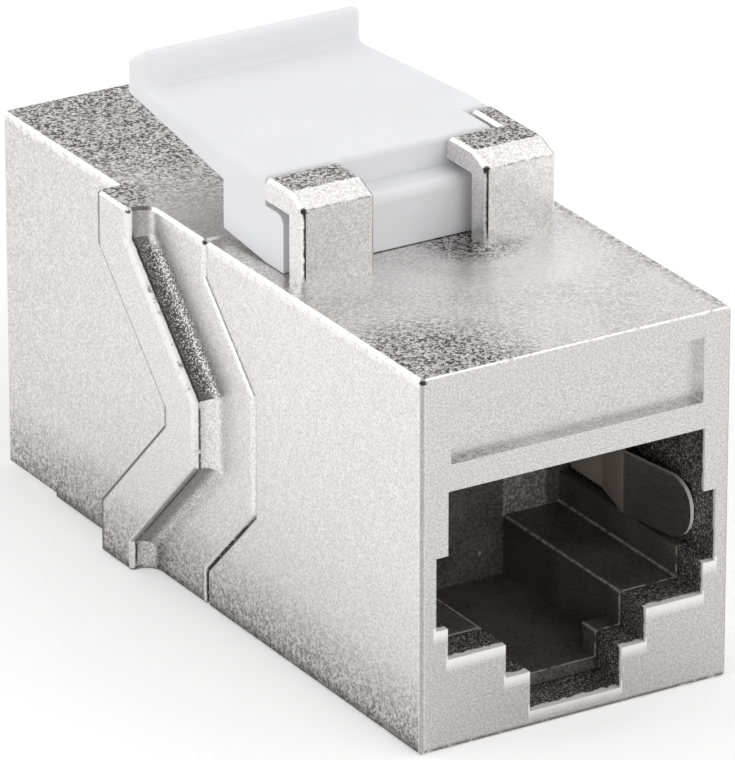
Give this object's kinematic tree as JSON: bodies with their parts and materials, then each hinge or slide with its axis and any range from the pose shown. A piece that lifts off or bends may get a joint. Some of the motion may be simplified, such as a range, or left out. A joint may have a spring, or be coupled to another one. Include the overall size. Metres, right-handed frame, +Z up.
{
  "type": "keystone coupler",
  "caption": "Shielded keystone inline coupler: die-cast housing with a modular socket at each end and a sprung finger latch on top.",
  "frame": {"origin": "centre of the overall box's underside, below the middle of the housing", "axes": "+Y along the housing from the front port to the rear port, +Z up towards the latch, +X across to the right as seen from the front port"},
  "size_m": [0.0164, 0.0336, 0.0215],
  "materials": {
    "die_cast_shell": "satin plated",
    "latch_moulding": "satin",
    "carrier_moulding": "satin",
    "board_laminate": "solder mask",
    "contact_spring": "gold plated",
    "shield_leaf": "satin"
  },
  "bodies": {
    "housing": {"circuit_board": "board_laminate", "front_carrier": "carrier_moulding", "front_contact_1": "contact_spring", "front_contact_2": "contact_spring", "front_contact_3": "contact_spring", "front_contact_4": "contact_spring", "front_contact_5": "contact_spring", "front_contact_6": "contact_spring", "front_contact_7": "contact_spring", "front_contact_8": "contact_spring", "front_shell": "die_cast_shell", "front_shield_leaf_left": "shield_leaf", "front_shield_leaf_right": "shield_leaf", "rear_carrier": "carrier_moulding", "rear_contact_1": "contact_spring", "rear_contact_2": "contact_spring", "rear_contact_3": "contact_spring", "rear_contact_4": "contact_spring", "rear_contact_5": "contact_spring", "rear_contact_6": "contact_spring", "rear_contact_7": "contact_spring", "rear_contact_8": "contact_spring", "rear_shell": "die_cast_shell", "rear_shield_leaf_left": "shield_leaf", "rear_shield_leaf_right": "shield_leaf"},
    "latch": {"latch": "latch_moulding"}
  },
  "joints": [
    {"name": "latch_rock", "type": "hinge", "parent": "housing", "child": "latch", "pos_m": [0, -0.0033, 0.01624], "axis": [-1, 0, 0], "range_deg": [0, 5.5], "stiffness_Nm_per_rad": 0.3}
  ]
}
